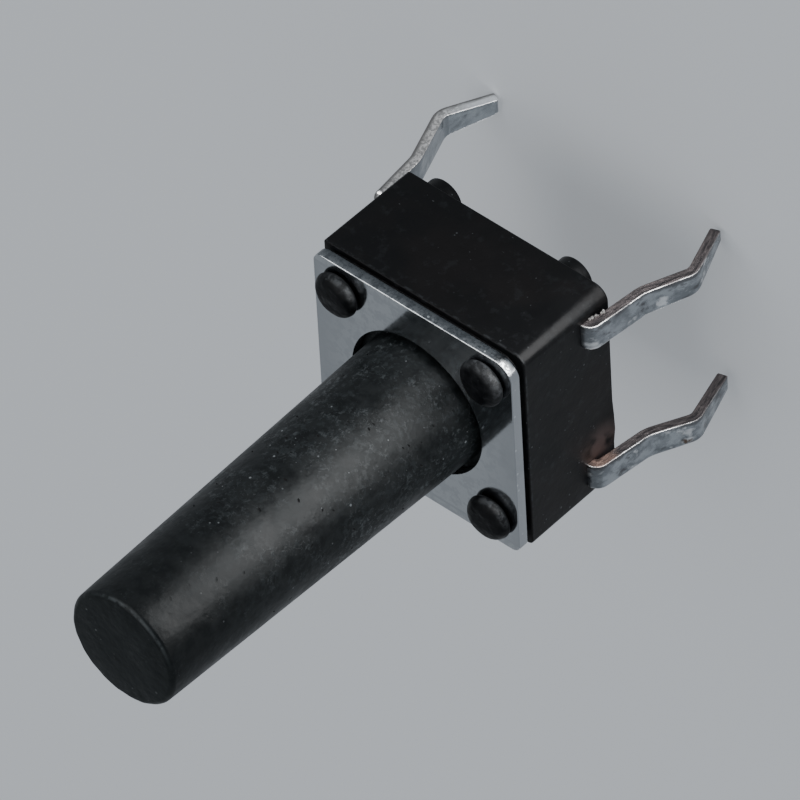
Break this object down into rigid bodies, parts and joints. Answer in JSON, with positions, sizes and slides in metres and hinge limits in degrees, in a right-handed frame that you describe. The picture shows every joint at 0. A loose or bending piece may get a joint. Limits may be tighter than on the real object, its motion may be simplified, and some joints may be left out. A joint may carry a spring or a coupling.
{
  "type": "tactile push button switch",
  "caption": "Square board-mounted push button switch with a long tapered round button, a steel cover plate and kinked pins.",
  "frame": {"origin": "middle of the four pins, on the board face that the housing's feet stand on", "axes": "+Z along the button away from the board; X from one pair of pins to the other; Y along a pair of pins"},
  "size_m": [0.008, 0.006, 0.0166],
  "materials": {
    "housing_plastic": "glossy black moulded plastic",
    "cover_steel": "bright tinned sheet steel",
    "button_plastic": "satin charcoal black plastic, a little dusty",
    "spring_metal": "bright spring strip",
    "tinned_metal": "tin plated over brass, brown where it was sheared"
  },
  "bodies": {
    "housing": {"base": "housing_plastic", "cover_plate": "cover_steel", "contact_dome": "spring_metal", "outer_terminal": "tinned_metal", "middle_terminal": "tinned_metal"},
    "button": {"button": "button_plastic"}
  },
  "joints": [
    {"name": "button_press", "type": "slide", "parent": "housing", "child": "button", "axis": [0, 0, -1], "range_m": [0, 0.00025], "stiffness_N_per_m": 6400, "deforming": ["contact_dome"]}
  ]
}
